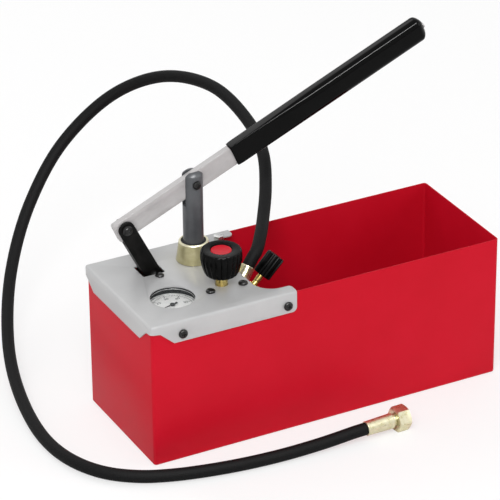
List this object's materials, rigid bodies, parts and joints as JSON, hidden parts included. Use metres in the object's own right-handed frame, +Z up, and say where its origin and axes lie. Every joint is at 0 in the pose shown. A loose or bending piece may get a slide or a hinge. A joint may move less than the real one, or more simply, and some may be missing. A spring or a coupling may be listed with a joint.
{
  "type": "hydrostatic test pump",
  "caption": "Hand-operated hydrostatic test pump: sheet-steel trough, lever-driven plunger, pressure gauge, shut-off and release valves, and a test hose with a swivel nut.",
  "frame": {"origin": "centre of the tank's underside", "axes": "+X along the tank towards its open end, away from the pump; +Y to the tank's rear wall, away from the hose's free end; +Z up"},
  "size_m": [0.5527, 0.5637, 0.4241],
  "materials": {
    "tank_red": "satin red powder coat",
    "plate_grey": "satin light grey powder coat",
    "lever_grey": "satin grey",
    "rod_steel": "dark ground steel",
    "gland_zinc": "olive zinc plating",
    "golden_zinc": "yellow zinc plating",
    "bright_steel": "bright plated steel",
    "black_steel": "black oxide",
    "black_plastic": "black moulding",
    "grip_rubber": "glossy black vinyl",
    "hose_rubber": "matte wrapped rubber",
    "seal_rubber": "matte black",
    "cap_red": "satin red",
    "block_alloy": "machined",
    "dial_white": "matte white",
    "clear_lens": "clear",
    "brass": "machined brass",
    "strainer_white": "moulded"
  },
  "bodies": {
    "base": {"tank": "tank_red", "cover_plate": "plate_grey", "cover_screw_front_left": "black_steel", "cover_screw_front_right": "black_steel", "cover_screw_rear_left": "black_steel", "cover_screw_rear_right": "black_steel", "pump_block": "block_alloy", "block_screw_left": "black_steel", "block_screw_right": "black_steel", "barrel": "bright_steel", "gland": "gland_zinc", "gland_seal": "seal_rubber", "rod_wiper": "seal_rubber", "link_foot_pin": "bright_steel", "link_spacer_front": "bright_steel", "link_spacer_rear": "bright_steel", "link_bracket": "black_steel", "bracket_screw_front": "bright_steel", "bracket_screw_rear": "bright_steel", "gauge_case": "black_steel", "gauge_bezel": "black_steel", "gauge_lens": "clear_lens", "gauge_dial": "dial_white", "gauge_stem": "brass", "shutoff_bonnet": "golden_zinc", "release_bonnet": "golden_zinc", "delivery_spring": "bright_steel", "delivery_plug": "bright_steel", "delivery_pipe": "bright_steel", "pipe_nut_upper": "golden_zinc", "pipe_nut_lower": "golden_zinc", "foot_valve_body": "brass", "suction_strainer": "strainer_white", "hose_nipple": "bright_steel", "pump_ferrule": "bright_steel", "hose": "hose_rubber", "end_ferrule": "golden_zinc", "hose_tail": "golden_zinc", "sealing_washer": "seal_rubber"},
    "plunger": {"plunger_rod": "rod_steel", "piston": "brass", "piston_seal": "seal_rubber", "piston_nut": "bright_steel", "clevis_pin": "black_steel", "clevis_nut": "black_steel"},
    "lever": {"lever_bar": "lever_grey", "lever_grip": "grip_rubber"},
    "link": {"link": "black_steel", "link_top_bolt": "black_steel", "link_top_nut": "black_steel"},
    "shutoff_stem": {"shutoff_spindle": "golden_zinc"},
    "shutoff_wheel": {"shutoff_knob": "black_plastic", "shutoff_cap": "cap_red"},
    "release_stem": {"release_spindle": "golden_zinc"},
    "release_wheel": {"release_knob": "black_plastic"},
    "needle": {"gauge_needle": "black_plastic"},
    "nut": {"swivel_nut": "golden_zinc"},
    "suction_ball": {"suction_ball": "bright_steel"},
    "delivery_ball": {"delivery_ball": "bright_steel"}
  },
  "joints": [
    {"name": "plunger_stroke", "type": "slide", "parent": "base", "child": "plunger", "axis": [0, 0, 1], "range_m": [-0.047, 0.008]},
    {"name": "lever_pivot", "type": "hinge", "parent": "plunger", "child": "lever", "pos_m": [-0.11095, 0.04, 0.281], "axis": [0, -1, 0], "range_deg": [-26, 4.6]},
    {"name": "link_pivot", "type": "hinge", "parent": "base", "child": "link", "pos_m": [-0.16225, 0.04, 0.17], "axis": [0, -1, 0], "range_deg": [-1.5, 7.9]},
    {"name": "shutoff_travel", "type": "slide", "parent": "base", "child": "shutoff_stem", "axis": [0, 0, 1], "range_m": [-0.002, 0.002]},
    {"name": "shutoff_turn", "type": "hinge", "parent": "shutoff_stem", "child": "shutoff_wheel", "pos_m": [-0.11095, -0.0307, 0.21], "axis": [0, 0, 1], "range_deg": [-365, 365]},
    {"name": "release_travel", "type": "slide", "parent": "base", "child": "release_stem", "axis": [0.6896, 0, 0.7242], "range_m": [-0.002, 0.002]},
    {"name": "release_turn", "type": "hinge", "parent": "release_stem", "child": "release_wheel", "pos_m": [-0.08025, -0.035, 0.163], "axis": [0.6896, 0, 0.7242], "range_deg": [-365, 365]},
    {"name": "needle_turn", "type": "hinge", "parent": "base", "child": "needle", "pos_m": [-0.17465, -0.0325, 0.17], "axis": [0, 0, 1], "range_deg": [-270, 0]},
    {"name": "nut_swivel", "type": "hinge", "parent": "base", "child": "nut", "pos_m": [0.01425, -0.1466, 0.0135], "axis": [0.9992, 0.0401, 0], "continuous": true},
    {"name": "suction_ball_lift", "type": "slide", "parent": "base", "child": "suction_ball", "axis": [0, 0, 1], "range_m": [0, 0.004]},
    {"name": "delivery_ball_lift", "type": "slide", "parent": "base", "child": "delivery_ball", "axis": [0, 0, 1], "range_m": [0, 0.0015], "stiffness_N_per_m": 100, "springref_m": -0.002, "deforming": ["delivery_spring"]}
  ],
  "couplings": [
    {"joint": "lever_pivot", "follows": "plunger_stroke", "rad_per_m": 9.55},
    {"joint": "link_pivot", "follows": "plunger_stroke", "rad_per_m": -2.85},
    {"joint": "shutoff_turn", "follows": "shutoff_travel", "rad_per_m": 3141.6},
    {"joint": "release_turn", "follows": "release_travel", "rad_per_m": 3141.6}
  ]
}
